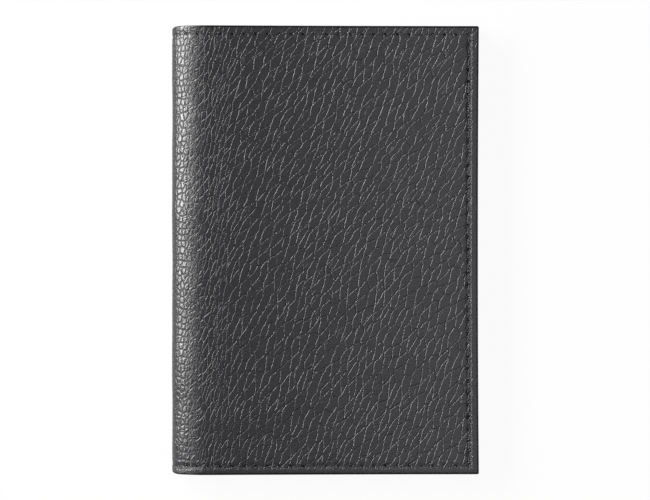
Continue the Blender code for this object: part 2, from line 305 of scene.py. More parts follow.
def sleeve_outside(run, height):
    return lining_inside(run, height) + SNUG + (POCKET_ROOM - SNUG) * over_board(run, height)


def sleeve_inside(run, height):
    """The face that one sees on opening, with the creased line beside its mouth."""
    rim = from_rim(run, height)
    mouth = SLEEVE_WIDTH - from_fore_edge(run)
    crease = CREASE_DEPTH * np.exp(-(((mouth - CREASE_FROM_MOUTH) / CREASE_SPREAD) ** 2))
    edges = edge_fall(np.minimum(rim, mouth), MOUTH_ROUND)
    pressed = LAYER_GAP * (1 - over_board(run, height))
    flat = sleeve_outside(run, height) + SLEEVE_WALL + pressed
    return flat - edges - crease - seam_sink(run, height)


# %% [markdown]
# ## Weaving a layer as a grid
#
# A layer is a grid of lines on the flat sheet, close together near the cut edge and the seam,
# where its shape changes quickly, and wider in the middle. Extruding a plane and adding loop
# cuts would give the same grid by hand. Written as code, the same function makes the shell, the
# lining and the sleeves. A layer that crosses the fold is woven whole first, so that the pieces
# it is parted into afterwards share their edges and their normals.


# %% Lines across the sheet
SHELL_GRID = 0.0006
INNER_GRID = 0.0011
FOLD_GRID_SHARE = 0.6
SEAM_BAND = (0.0010, 0.0044)
SEAM_BAND_GRID = {SHELL_GRID: 0.00024, INNER_GRID: 0.0004}
BOARD_BAND_END = 0.0062
ROUND_LINES = np.array([0.0, 0.04, 0.13, 0.3, 0.55, 1.0])


def even_lines(start, end, step):
    return np.linspace(start, end, max(round(abs(end - start) / step), 1) + 1)


def edge_lines(step):
    """Distances in from a cut edge: a round edge, then the seam, then the open middle."""
    beside = even_lines(*SEAM_BAND, SEAM_BAND_GRID[step])
    board = even_lines(BOARD_MARGIN, BOARD_BAND_END, step)
    return np.concatenate((EDGE_ROUND * ROUND_LINES, beside, board))


def height_lines(step):
    near = edge_lines(step)
    middle = even_lines(near[-1], COVER_HEIGHT - near[-1], step)[1:-1]
    distances = np.concatenate((near, middle, COVER_HEIGHT - near[::-1]))
    return distances / HALF_HEIGHT - 1


CUTS = [run_at_turn(FOLD_TURN * k / FOLD_LINES) for k in range(FOLD_LINES + 1)]


def cover_runs(step):
    """Lines along the whole sheet, and the line numbers where it is parted."""
    near = edge_lines(step)
    back = np.concatenate((BACK_EDGE + near, even_lines(BACK_EDGE + near[-1], 0.0, step)[1:]))
    parts, marks = [back], [len(back) - 1]
    for start, end in zip(CUTS, CUTS[1:]):
        parts.append(even_lines(start, end, step * FOLD_GRID_SHARE)[1:])
        marks.append(marks[-1] + len(parts[-1]))
    front = even_lines(FOLD_END, FRONT_EDGE - near[-1], step)[1:]
    parts.append(np.concatenate((front, FRONT_EDGE - near[::-1][1:])))
    marks.append(marks[-1] + len(parts[-1]))
    return np.concatenate(parts), [0, *marks]


# %% Make a mesh object from points and quads
def mesh_of(name, vertices, quads):
    mesh = bpy.data.meshes.new(name)
    mesh.from_pydata(np.concatenate(vertices).tolist(), [], np.concatenate(quads).tolist())
    return mesh


def face_outwards(mesh, cap_sides=0):
    """Faces all turned one way, after any open end of up to cap_sides points is filled."""
    shape = bmesh.new()
    shape.from_mesh(mesh)
    if cap_sides:
        ends = [edge for edge in shape.edges if edge.is_boundary]
        bmesh.ops.holes_fill(shape, edges=ends, sides=cap_sides)
    bmesh.ops.recalc_face_normals(shape, faces=shape.faces)
    shape.to_mesh(mesh)
    shape.free()


def keep(mesh, name, values):
    """Stores a value or a vector of every point, for the materials to read."""
    kind, field = ("FLOAT_VECTOR", "vector") if values.ndim == 2 else ("FLOAT", "value")
    made = mesh.attributes.new(name, kind, "POINT")
    made.data.foreach_set(field, values.astype(np.float32).ravel())


def place_piece(name, mesh):
    piece = bpy.data.objects.new(name, mesh)
    bpy.context.scene.collection.objects.link(piece)
    return piece


# %% Weave one face of a layer and wall its cut edges
WALL_TURN_IN = 0.00012
# Each ring of a wall as its share of the depth and how far it is turned in.
CLOSED_RINGS = [(0.1, 0.0), (0.5, 0.0), (0.9, 0.0)]
OPEN_RINGS = [*CLOSED_RINGS, (1.0, WALL_TURN_IN)]


def grid_normals(points, run, height):
    """Outward normals of a whole grid, from the lines through each point."""
    normals = np.cross(np.gradient(points, axis=0), np.gradient(points, axis=1))
    normals /= np.maximum(np.linalg.norm(normals, axis=-1, keepdims=True), 1e-12)
    outwards = bend(run, height, -MM) - bend(run, height, 0.0)
    return normals * np.sign((normals * outwards).sum(-1, keepdims=True))


def rim_paths(first, last, rows, back_wall, front_wall):
    """Places of the grid along its cut edges, as one path or as head and foot apart."""
    foot = [(i, 0) for i in range(first, last + 1)]
    head = [(i, rows - 1) for i in range(first, last + 1)]
    rise = list(range(1, rows - 1))
    if front_wall and back_wall:
        down = [(first, j) for j in reversed(rise)]
        return [foot + [(last, j) for j in rise] + head[::-1] + down + foot[:1]]
    if front_wall:
        return [foot + [(last, j) for j in rise] + head[::-1]]
    if back_wall:
        return [foot[::-1] + [(first, j) for j in rise] + head]
    return [foot, head]


def wall_ring(run, height, top, bottom, share, inset):
    """Points of a cut edge at a share of its depth, and their places on the sheet."""
    ring_run = np.clip(run, BACK_EDGE + inset, FRONT_EDGE - inset)
    limit = half_height(ring_run) - inset
    depth = top + (bottom - top) * share
    points = bend(ring_run, np.clip(height, -limit, limit), depth)
    return points, np.stack((run, height, depth), -1) / MM


def strip(above, below):
    """Quads between two rows of points."""
    return np.stack((above[:-1], above[1:], below[1:], below[:-1]), -1)


def weave(name, runs, shares, part, seen, unseen, outward, mouth=False):
    """One part of a layer, from its first line to its last, as a mesh object.

    seen and unseen give the depths of its two faces. Only the seen face and the walls of the
    cut edge are woven, but a sleeve, which has a mouth, is closed all round.
    """
    first, last = part
    here, rows = slice(first, last + 1), len(shares)
    run = np.repeat(runs[:, None], rows, 1)
    height = half_height(runs)[:, None] * shares[None, :]
    points = bend(run, height, seen(run, height))
    normals = grid_normals(points, run, height) * (1 if outward else -1)
    edge = from_rim(run, height)
    if mouth:
        edge = np.minimum(edge, SLEEVE_WIDTH - from_fore_edge(run))
    vertices = [points[here].reshape(-1, 3)]
    sheet = [np.stack((run, height, 0 * run), -1)[here].reshape(-1, 3) / MM]
    rim = [edge[here].reshape(-1) / MM]
    corner = (np.arange(last - first)[:, None] * rows + np.arange(rows - 1)[None, :]).reshape(-1)
    quads = [np.stack((corner, corner + rows, corner + rows + 1, corner + 1), -1)]
    face = count = len(vertices[0])
    if mouth:
        vertices.append(bend(run, height, unseen(run, height))[here].reshape(-1, 3))
        sheet.append(sheet[0])
        rim.append(rim[0])
        quads.append(quads[0] + face)
        count = 2 * face
    for path in rim_paths(first, last, rows, mouth or first == 0, mouth or last == len(runs) - 1):
        i, j = np.array(path).T
        place = run[i, j], height[i, j]
        corners = above = (i - first) * rows + j
        for share, inset in CLOSED_RINGS if mouth else OPEN_RINGS:
            ring_points, ring_places = wall_ring(*place, seen(*place), unseen(*place), share, inset)
            vertices.append(ring_points)
            sheet.append(ring_places)
            rim.append(np.zeros(len(path)) - share)
            ring = np.arange(len(path)) + count
            quads.append(strip(above, ring))
            above, count = ring, count + len(path)
        if mouth:
            quads.append(strip(above, corners + face))
    mesh = mesh_of(name, vertices, quads)
    fixed = np.zeros((count, 3))
    for line, parted in ((first, first > 0), (last, last < len(runs) - 1)):
        if parted and not mouth:
            fixed[(line - first) * rows : (line - first + 1) * rows] = normals[line]
    settle_layer(mesh, normals[here].reshape(-1, 3), fixed)
    keep(mesh, "sheet", np.concatenate(sheet))
    keep(mesh, "rim", np.concatenate(rim))
    return place_piece(name, mesh)


def settle_layer(mesh, wanted, fixed):
    """Faces turned the right way, and normals along a parting the same as its neighbour's."""
    face_outwards(mesh)
    middle = len(wanted) // 2
    if np.dot(mesh.vertices[middle].normal, wanted[middle]) < 0:
        mesh.flip_normals()
    mesh.shade_smooth()
    mesh.normals_split_custom_set_from_vertices(fixed.tolist())


# %% [markdown]
# ## Small helpers for shader nodes
#
# In the Shader Editor one drags wires. Here a wire is made whenever a value handed to a socket
# is itself a socket, which lets a chain of Math nodes be read like a formula. Places on the
# sheet and depths of the relief are in millimetres in all the materials.


# %% Wire nodes like formulas
def put(tree, socket, value):
    if isinstance(value, bpy.types.NodeSocket):
        tree.links.new(value, socket)
    else:
        socket.default_value = value


def add(tree, kind, inputs=None, **settings):
    """A node with its settings made and its inputs filled by name."""
    made = tree.nodes.new(kind)
    for name, value in settings.items():
        setattr(made, name, value)
    for name, value in (inputs or {}).items():
        put(tree, made.inputs[name], value)
    return made


def calc(tree, operation, *values):
    made = add(tree, "ShaderNodeMath", operation=operation)
    for socket, value in zip(made.inputs, values):
        put(tree, socket, value)
    return made.outputs[0]


def times(tree, first, *others):
    for other in others:
        first = calc(tree, "MULTIPLY", first, other)
    return first


def plus(tree, first, *others):
    for other in others:
        first = calc(tree, "ADD", first, other)
    return first


def minus(tree, first, second):
    return calc(tree, "SUBTRACT", first, second)


def fade(tree, value, start, end, low=0.0, high=1.0):
    """A smooth step from low at start to high at end."""
    inputs = {"Value": value, "From Min": start, "From Max": end, "To Min": low, "To Max": high}
    return add(tree, "ShaderNodeMapRange", inputs, interpolation_type="SMOOTHSTEP").outputs["Result"]


def blend(tree, mask, without, within):
    """One value where the mask is 0 and another where it is 1."""
    return fade(tree, mask, 0.0, 1.0, without, within)


def noise(tree, place, scale, detail=2.0, output="Fac"):
    inputs = {"Vector": place, "Scale": scale, "Detail": detail}
    return add(tree, "ShaderNodeTexNoise", inputs).outputs[output]


def vector(tree, operation, *values):
    made = add(tree, "ShaderNodeVectorMath", operation=operation)
    for socket, value in zip(made.inputs, values):
        put(tree, socket, value)
    return made.outputs["Vector"]


def split(tree, place):
    """The x, y and z of a vector."""
    return add(tree, "ShaderNodeSeparateXYZ", {"Vector": place}).outputs


def join(tree, **parts):
    return add(tree, "ShaderNodeCombineXYZ", parts).outputs["Vector"]


def turn_flat(tree, place, angle):
    inputs = {"Vector": place, "Angle": angle}
    return add(tree, "ShaderNodeVectorRotate", inputs, rotation_type="Z_AXIS").outputs["Vector"]


def new_group(name, inputs, outputs):
    """An empty node group. An input without a starting value is a vector."""
    tree = bpy.data.node_groups.new(name, "ShaderNodeTree")
    for label, start in inputs.items():
        kind = "NodeSocketVector" if start is None else "NodeSocketFloat"
        socket = tree.interface.new_socket(label, in_out="INPUT", socket_type=kind)
        if start is not None:
            socket.default_value = start
    for label in outputs:
        tree.interface.new_socket(label, in_out="OUTPUT", socket_type="NodeSocketFloat")
    return tree, tree.nodes.new("NodeGroupInput").outputs, tree.nodes.new("NodeGroupOutput").inputs


def use_group(tree, group, **inputs):
    return add(tree, "ShaderNodeGroup", node_tree=group, inputs=inputs).outputs


# %% [markdown]
# ## Pebbled grain
#
# Shrunken hide draws into long pebbles with sharp creases between them. A Voronoi texture set
# to distance-to-edge gives exactly the lines between cells. Stretching its space makes the cells
# long, slow noises bend their direction, and a quick one roughens each line. Sculpting or a
# scanned height map would also do it, but this group serves the shell, the lining and the
# sleeves with different sizes.

# %% Node group: pebbled grain
RADIANS = math.pi / 180
# Scale and detail of each noise, and its reach in millimetres where Wander is 1.
BENDS = [(0.05, 1.0, 4.0), (0.21, 1.0, 2.2), (0.75, 2.0, 1.0)]

grain_group, given, result = new_group(
    "pebbled_grain",
    {
        "Place": None,
        "Slant": 65.0,
        "Shear": 0.0,
        "Width": 2.2,
        "Length": 5.0,
        "Crease": 0.1,
        "Wander": 0.6,
        "Jumble": 0.85,
        "Seed": 0.0,
    },
    ("Crease",),
)
tree = grain_group
shifted = vector(tree, "ADD", given["Place"], join(tree, Z=given["Seed"]))
bent = shifted
for scale, detail, reach in BENDS:
    tint = vector(tree, "SUBTRACT", noise(tree, shifted, scale, detail, "Color"), (0.5, 0.5, 0.5))
    moved = vector(tree, "SCALE", tint)
    put(tree, moved.node.inputs["Scale"], times(tree, given["Wander"], reach))
    bent = vector(tree, "ADD", bent, moved)
turned = turn_flat(tree, bent, times(tree, given["Slant"], -RADIANS))
long_way, short_way, _ = split(tree, turned)
leaning = plus(tree, long_way, times(tree, short_way, given["Shear"]))
cell = join(
    tree,
    X=calc(tree, "DIVIDE", leaning, given["Length"]),
    Y=calc(tree, "DIVIDE", short_way, given["Width"]),
)
lines = add(
    tree,
    "ShaderNodeTexVoronoi",
    {"Vector": cell, "Scale": 1.0, "Randomness": given["Jumble"]},
    feature="DISTANCE_TO_EDGE",
    voronoi_dimensions="2D",
).outputs["Distance"]
put(tree, result["Crease"], minus(tree, 1.0, fade(tree, lines, 0.0, given["Crease"])))
print(grain_group.name, len(tree.nodes), "nodes")

# %% [markdown]
# ## Needle holes and puckers
#
# A leather needle has a blade for a point and cuts a short slanted slit. The thread closes it
# partly and puckers the leather towards it. The slits repeat along the row, so the remainder of
# the distance along the row, divided by the stitch, says where the nearest hole is. Cutting real
# slits would need thousands of faces for marks half a millimetre wide.

# %% Node group: a row of needle slits
SLIT_BORDER = (1.4, 0.5)
PUCKER_BORDER = (16.0, 1.0)

slit_group, given, result = new_group(
    "needle_slits",
    {"Along": 0.0, "Beside": 0.0, "Pitch": 3.7, "Slant": -30.0, "Length": 0.54, "Width": 0.24},
    ("Slit", "Pucker"),
)
tree = slit_group
share = calc(tree, "FRACT", plus(tree, calc(tree, "DIVIDE", given["Along"], given["Pitch"]), 0.5))
near = times(tree, minus(tree, share, 0.5), given["Pitch"])
angle = times(tree, given["Slant"], RADIANS)
cos, sin = calc(tree, "COSINE", angle), calc(tree, "SINE", angle)
long_way = plus(tree, times(tree, near, cos), times(tree, given["Beside"], sin))
short_way = minus(tree, times(tree, given["Beside"], cos), times(tree, near, sin))
reach = plus(
    tree,
    calc(tree, "POWER", calc(tree, "DIVIDE", long_way, given["Length"]), 2.0),
    calc(tree, "POWER", calc(tree, "DIVIDE", short_way, given["Width"]), 2.0),
)
put(tree, result["Slit"], fade(tree, reach, *SLIT_BORDER))
put(tree, result["Pucker"], fade(tree, reach, *PUCKER_BORDER))
print(slit_group.name, len(tree.nodes), "nodes")

# %% [markdown]
# ## Painted cut edge
#
# The cut edge of the sandwich is sealed with dark edge paint, which laps a little over the skin
# in a slightly uneven line. Every layer stores its distance from the cut edge on its points, so
# one group can lay the paint over all of them. It also says where the margin beside the seam is.

# %% Node group: edge paint
PAINT_BORDER = 0.06
MARGIN_BORDER = (2.6, 1.6)
BRUSH_SCALE = 0.9

paint_group, given, result = new_group(
    "edge_paint",
    {"Place": None, "Rim": 1.0, "Lap": 0.3, "Unevenness": 0.12},
    ("Paint", "Margin"),
)
tree = paint_group
ragged = times(tree, minus(tree, noise(tree, given["Place"], BRUSH_SCALE), 0.5), given["Unevenness"])
lap = plus(tree, given["Lap"], times(tree, ragged, 2.0))
put(tree, result["Paint"], fade(tree, given["Rim"], plus(tree, lap, PAINT_BORDER), lap))
put(tree, result["Margin"], fade(tree, given["Rim"], *MARGIN_BORDER))
print(paint_group.name, len(tree.nodes), "nodes")

# %% [markdown]
# ## The leathers
#
# All three leathers are the same dark hide, finished differently: the shell is shrunken and
# satin, the lining is split thin and matt, the sleeves are fine-grained. The shell's colour is
# painted a little paler towards its fore-edge: painted light, for light that falls more strongly
# on that side. What one sees most is the light in the creases, so most of the work is in the bump.

# %% Parts that every leather shares
LONG_SLIT = dict(Slant=-30.0, Length=0.54, Width=0.24)
FORE_SLIT = dict(Slant=-32.0, Length=0.54, Width=0.25)
SLIT_SHIFT = 0.30
ROW_HALF_WIDTH = 0.6
CORNER_BORDER = (0.8, -0.8)
BACK_AT = BACK_EDGE / MM
FOLD_AT = FOLD_END / MM
FRONT_AT = FRONT_EDGE / MM
ROW_AT = ROW_REACH / MM
FORE_ROW_IN = FORE_SEAM_MARGIN / MM


def sheet_place(tree):
    """The point's place on the flat sheet, and its distance from a cut edge."""
    place = add(tree, "ShaderNodeAttribute", attribute_name="sheet").outputs["Vector"]
    rim = add(tree, "ShaderNodeAttribute", attribute_name="rim").outputs["Fac"]
    return place, rim


def new_material(name):
    material = bpy.data.materials.new(name)
    material.use_nodes = True
    tree = material.node_tree
    return material, tree, tree.nodes["Principled BSDF"]


def mix_colour(tree, share, first, second):
    """The first colour where the share is 0 and the second where it is 1."""
    made = add(tree, "ShaderNodeMix", {"Factor": share}, data_type="RGBA")
    sockets = [socket for socket in made.inputs if socket.type == "RGBA"]
    for socket, value in zip(sockets, (first, second)):
        put(tree, socket, value)
    return next(socket for socket in made.outputs if socket.type == "RGBA")


def colour(red, green, blue):
    return (red, green, blue, 1.0)


def raise_relief(tree, shader, height, distance=MM, strength=1.0):
    bump = add(tree, "ShaderNodeBump", {"Strength": strength, "Distance": distance, "Height": height})
    put(tree, shader.inputs["Normal"], bump.outputs["Normal"])


def seam_slits(tree, place):
    """Slits and puckers of all rows, and where the fore-edge is nearer than head and foot."""
    run, height, _ = split(tree, place)
    tall = calc(tree, "ABSOLUTE", height)
    edge = calc(tree, "MINIMUM", minus(tree, run, BACK_AT), minus(tree, FRONT_AT, run))
    long_row = use_group(
        tree,
        slit_group,
        Along=minus(tree, run, ROW_START / MM - SLIT_SHIFT),
        Beside=times(tree, minus(tree, tall, ROW_AT), calc(tree, "SIGN", height)),
        Pitch=LONG_PITCH / MM,
        **LONG_SLIT,
    )
    short_row = use_group(
        tree,
        slit_group,
        Along=plus(tree, height, ROW_AT - SLIT_SHIFT),
        Beside=minus(tree, edge, FORE_ROW_IN),
        Pitch=SHORT_PITCH / MM,
        **FORE_SLIT,
    )
    on_long = calc(tree, "GREATER_THAN", edge, FORE_ROW_IN - ROW_HALF_WIDTH)
    on_short = calc(tree, "LESS_THAN", tall, ROW_AT + ROW_HALF_WIDTH)
    both = []
    for label in ("Slit", "Pucker"):
        first, second = times(tree, long_row[label], on_long), times(tree, short_row[label], on_short)
        both.append(calc(tree, "MAXIMUM", first, second))
    to_end = minus(tree, HALF_HEIGHT / MM, tall)
    fore = fade(tree, minus(tree, edge, to_end), *CORNER_BORDER)
    return (*both, fore)


# %% [markdown]
# ## The shell's pebbled leather
#
# On the front the pebbles are long and stand almost upright. Towards the fold they crowd, fade
# and give way to fine creases, and on the curl of the spine the skin draws up into small domes.
# Masks along the run say where each of these shows. A painted weight map would do the same by
# hand, but the run is already known at every point.

# %% Where each effect of the shell shows
FINE_BEGINS, FINE_ENDS = (-6.0, 1.0), (FOLD_AT + 5.0, FOLD_AT - 2.0)
CURL_BEGINS, CURL_ENDS = (-4.0, 2.0), (FOLD_AT - 3.5, FOLD_AT - 8.5)
HEAD_BEGINS = (60.0, 66.0)
SHELL_LAP = 0.58

shell_leather, tree, shader = new_material("pebbled_shell_leather")
place, rim = sheet_place(tree)
run, height, _ = split(tree, place)
near_fold = times(tree, fade(tree, run, *FINE_ENDS), fade(tree, run, *FINE_BEGINS))
on_curl = times(tree, fade(tree, run, *CURL_ENDS), fade(tree, run, *CURL_BEGINS))
slit, pucker, fore = seam_slits(tree, place)
edge = use_group(tree, paint_group, Place=place, Rim=rim, Lap=SHELL_LAP)
print(f"fine creases up to {FINE_ENDS[0]:.1f} mm round, domes up to {CURL_ENDS[0]:.1f} mm")

# %% Its four grains
LONG_GRAIN = dict(Shear=1.2, Width=2.65, Length=4.9, Crease=0.09, Wander=0.60, Jumble=0.66)
CROSS_GRAIN = dict(Slant=40.0, Width=2.6, Length=6.0, Crease=0.07, Wander=0.8, Seed=40.0)
FINE_GRAIN = dict(Slant=88.0, Shear=1.3, Width=1.5, Length=3.4, Crease=0.12, Wander=0.35, Seed=80.0)
DOMES = dict(Slant=84.0, Width=1.5, Length=2.1, Crease=0.26, Wander=0.3, Jumble=0.7, Seed=120.0)
LEAN_AT_FOOT, LEAN_AT_HEAD, LESS_IN_CORNER = 84.0, 75.0, 9.0
LEAN_CHANGES = (-50.0, 50.0)
CORNER_BEGINS = (1.0, 1.7)
LEAF_WIDTH = 88.0
CROWD_REACH = 9.0

crowd = fade(tree, run, FOLD_AT + CROWD_REACH, FOLD_AT - CROWD_REACH, 0.0, CROWD_REACH)
crowded = join(tree, X=minus(tree, run, crowd), Y=height)
down = calc(tree, "DIVIDE", height, -COVER_HEIGHT / MM)
to_corner = plus(tree, calc(tree, "DIVIDE", run, LEAF_WIDTH), down)
lean = fade(tree, height, *LEAN_CHANGES, LEAN_AT_FOOT, LEAN_AT_HEAD)
lean = minus(tree, lean, fade(tree, to_corner, *CORNER_BEGINS, 0.0, LESS_IN_CORNER))
long_grain = use_group(tree, grain_group, Place=crowded, Slant=lean, **LONG_GRAIN)
cross_grain = use_group(tree, grain_group, Place=place, **CROSS_GRAIN)
fine_grain = use_group(tree, grain_group, Place=place, **FINE_GRAIN)
domes = use_group(tree, grain_group, Place=place, **DOMES)
print("cells", LONG_GRAIN["Length"], "x", LONG_GRAIN["Width"], "mm on the leaf")

# %% How strong its creases are from place to place
PATCH_SCALE, PATCHES = 0.17, (0.3, 0.6, 0.65, 1.0)
CROSS_PATCH_SCALE, CROSS_PATCHES = 0.21, (0.38, 0.62, 0.1, 1.0)
LONG_BY_FOLD, LONG_ON_CURL, FINE_ON_CURL = 0.12, 0.35, 0.1
LONG_AT_FOLD_END, LONG_GROWS_OVER = 0.78, 45.0

strength = times(
    tree,
    fade(tree, noise(tree, place, PATCH_SCALE, 1.0), *PATCHES),
    blend(tree, near_fold, 1.0, LONG_BY_FOLD),
    blend(tree, on_curl, 1.0, LONG_ON_CURL),
    fade(tree, run, FOLD_AT, FOLD_AT + LONG_GROWS_OVER, LONG_AT_FOLD_END, 1.0),
)
long_crease = times(tree, long_grain["Crease"], strength)
cross_strength = fade(tree, noise(tree, place, CROSS_PATCH_SCALE, 1.0), *CROSS_PATCHES)
fine_strength = blend(tree, on_curl, 1.0, FINE_ON_CURL)

# %% Its relief
LONG_DEPTH = 0.115
CROSS_DEPTH = 0.055
FINE_DEPTH_ON_LEAF, FINE_DEPTH_BY_FOLD = 0.014, 0.110
DOME_DEPTH = 0.05
SLIT_DEPTH = 0.30
PUCKER_DEPTH = 0.05
PORE_SCALE, PORE_DEPTH_ON_LEAF, PORE_DEPTH_ON_CURL = 1.4, 0.15, 0.012
SPECKLE_SCALE, SPECKLE_DEPTH = 3.2, 0.018
CALM_AT_HEAD, CALM_ELSEWHERE = 0.15, 0.75

fine_depth = blend(tree, near_fold, -FINE_DEPTH_ON_LEAF, -FINE_DEPTH_BY_FOLD)
relief = plus(
    tree,
    times(tree, long_crease, -LONG_DEPTH),
    times(tree, cross_grain["Crease"], cross_strength, -CROSS_DEPTH),
    times(tree, fine_grain["Crease"], fine_depth, fine_strength),
    times(tree, domes["Crease"], on_curl, -DOME_DEPTH),
)
calm = times(tree, edge["Margin"], fade(tree, height, *HEAD_BEGINS[::-1], CALM_AT_HEAD, CALM_ELSEWHERE))
relief = times(tree, relief, minus(tree, 1.0, calm), minus(tree, 1.0, edge["Paint"]))
relief = minus(tree, relief, times(tree, slit, SLIT_DEPTH))
relief = minus(tree, relief, times(tree, pucker, PUCKER_DEPTH))
pore_depth = blend(tree, on_curl, PORE_DEPTH_ON_LEAF, PORE_DEPTH_ON_CURL)
pores = times(tree, noise(tree, place, PORE_SCALE, 3.0), pore_depth)
speckle = times(tree, noise(tree, place, SPECKLE_SCALE, 1.0), blend(tree, on_curl, SPECKLE_DEPTH, 0.0))
relief = plus(tree, relief, pores, speckle)

# %% [markdown]
# ### Wrinkled skin beside the seam
#
# Along the row and just outside it, where the seam pulls the leather in, the skin wrinkles into
# little folds, most of all at the fore-edge, where handling has polished them. A noise folded
# about its middle gives their sharp edges. Sculpting them would be truer, but takes many faces.

# %% The wrinkles
WRINKLE_TURN = -0.9
WRINKLE_STRETCH = (0.7, 1.7, 1.0)
FORE_ROW_FARTHER = 0.78
FORE_WRINKLES, HEAD_WRINKLES, FOOT_WRINKLES = 1.65, 0.20, 0.40
BAND_BEGINS, BAND_ENDS = (1.1, 1.8), (2.9, 2.4)

from_seam = minus(tree, rim, times(tree, fore, FORE_ROW_FARTHER))
beside_seam = times(tree, fade(tree, from_seam, *BAND_BEGINS), fade(tree, from_seam, *BAND_ENDS))
askew = turn_flat(tree, place, WRINKLE_TURN)
wrinkled = noise(tree, vector(tree, "MULTIPLY", askew, WRINKLE_STRETCH), 1.0, 3.0)
wrinkles = times(
    tree,
    calc(tree, "ABSOLUTE", minus(tree, wrinkled, 0.5)),
    blend(tree, fore, fade(tree, height, *HEAD_BEGINS, FOOT_WRINKLES, HEAD_WRINKLES), FORE_WRINKLES),
    minus(tree, 1.0, slit),
    beside_seam,
)
raise_relief(tree, shader, minus(tree, relief, wrinkles))

# %% Its colour
SPINE_SKIN = [colour(0.0225, 0.0217, 0.0244), colour(0.0292, 0.0282, 0.0316)]
FORE_EDGE_SKIN_PAINTED_LIGHTER = [colour(0.0370, 0.0357, 0.0399), colour(0.0480, 0.0465, 0.0519)]
MOTTLE_SCALE = 0.35
CREASE_SHADOW = colour(0.012, 0.012, 0.013)
CREASE_SHARE, CRACK_SHARE = 0.12, 0.75
SLIT_SHADOW = colour(0.003, 0.003, 0.0035)
SHELL_EDGE_PAINT = colour(0.004, 0.004, 0.005)

cracks = times(tree, calc(tree, "POWER", domes["Crease"], 2.0), on_curl)
crease = calc(tree, "MAXIMUM", times(tree, long_crease, CREASE_SHARE), times(tree, cracks, CRACK_SHARE))
mottle = noise(tree, place, MOTTLE_SCALE, 3.0)
by_spine = mix_colour(tree, mottle, *SPINE_SKIN)
painted_lighter_by_fore_edge = mix_colour(tree, mottle, *FORE_EDGE_SKIN_PAINTED_LIGHTER)
# Painted light: the skin is painted paler from the fold to the fore-edge, standing in for light that
# falls more strongly there.
skin = mix_colour(tree, fade(tree, run, FOLD_AT, FRONT_AT), by_spine, painted_lighter_by_fore_edge)
skin = mix_colour(tree, crease, skin, CREASE_SHADOW)
skin = mix_colour(tree, slit, skin, SLIT_SHADOW)
put(tree, shader.inputs["Base Color"], mix_colour(tree, edge["Paint"], skin, SHELL_EDGE_PAINT))

# %% Its sheen
LEAF_ROUGHNESS, CURL_ROUGHNESS, SLIT_ROUGHNESS = 0.32, 0.19, 0.16
MOTTLE_ROUGHNESS = 0.08
MATT_ROUGHNESS = 0.4
PAINT_MATTNESS = 0.6
POLISH = 0.10
HIDE_IOR = 1.55

matt = calc(tree, "MAXIMUM", cracks, times(tree, edge["Paint"], fore, PAINT_MATTNESS))
polish = times(tree, fore, beside_seam, POLISH)
rough = plus(
    tree,
    blend(tree, on_curl, LEAF_ROUGHNESS, CURL_ROUGHNESS),
    times(tree, mottle, MOTTLE_ROUGHNESS),
    times(tree, matt, MATT_ROUGHNESS),
)
rough = blend(tree, slit, minus(tree, rough, polish), SLIT_ROUGHNESS)
put(tree, shader.inputs["Roughness"], rough)
shader.inputs["IOR"].default_value = HIDE_IOR
print(shell_leather.name, len(tree.nodes), "nodes")

# %% [markdown]
# ## The lining and the sleeves
#
# Split leather is matt and shows its fibres, and the sleeves' grain leather has small even cells.
# Both use the shell's groups with smaller numbers, so the seam's slits and the edge paint run on
# through all the layers. A plain noise would do for either, but not show where it was sewn.

# %% The two fine leathers
FINE_CELLS = dict(Slant=70.0, Crease=0.2, Wander=0.5, Seed=15.0)
FINE_LAP = 0.2
FIBRE_SCALE, FIBRE_DEPTH, FIBRE_ROUGHNESS = 1.7, 0.02, 0.15
FINE_MOTTLE_SCALE = 0.22
PAINT_SHEEN = 0.2
FINE_SLIT_SHADOW = colour(0.005, 0.005, 0.006)
FINE_EDGE_PAINT = colour(0.010, 0.010, 0.012)
FINE_SLIT_DEPTH = 0.2
VALLEY_SHADE, VALLEY_SHARE = 0.6, 0.4


def fine_leather(name, low, high, width, length, depth, roughness):
    """A smooth leather with small cells, painted at its cut edge like the shell."""
    material, tree, shader = new_material(name)
    place, rim = sheet_place(tree)
    cells = use_group(tree, grain_group, Place=place, Width=width, Length=length, **FINE_CELLS)["Crease"]
    paint = use_group(tree, paint_group, Place=place, Rim=rim, Lap=FINE_LAP)["Paint"]
    slit, _, _ = seam_slits(tree, place)
    fibres = noise(tree, place, FIBRE_SCALE, 4.0)
    relief = plus(tree, times(tree, cells, -depth), times(tree, fibres, FIBRE_DEPTH))
    relief = times(tree, relief, minus(tree, 1.0, paint))
    raise_relief(tree, shader, minus(tree, relief, times(tree, slit, FINE_SLIT_DEPTH)))
    # Painted shade: the valleys between the small cells are painted darker.
    painted_valley_shade = colour(*(VALLEY_SHADE * share for share in low))
    skin = mix_colour(tree, noise(tree, place, FINE_MOTTLE_SCALE, 3.0), colour(*low), colour(*high))
    skin = mix_colour(tree, times(tree, cells, VALLEY_SHARE), skin, painted_valley_shade)
    skin = mix_colour(tree, slit, skin, FINE_SLIT_SHADOW)
    put(tree, shader.inputs["Base Color"], mix_colour(tree, paint, skin, FINE_EDGE_PAINT))
    rough = plus(tree, roughness, times(tree, fibres, FIBRE_ROUGHNESS))
    put(tree, shader.inputs["Roughness"], minus(tree, rough, times(tree, paint, PAINT_SHEEN)))
    print(material.name, len(tree.nodes), "nodes")
    return material


lining_leather = fine_leather(
    "smooth_lining_leather",
    low=(0.030, 0.029, 0.030),
    high=(0.042, 0.041, 0.042),
    width=0.55,
    length=0.7,
    depth=0.012,
    roughness=0.62,
)
sleeve_leather = fine_leather(
    "fine_sleeve_leather",
    low=(0.034, 0.033, 0.035),
    high=(0.046, 0.045, 0.047),
    width=1.1,
    length=1.9,
    depth=0.035,
    roughness=0.48,
)
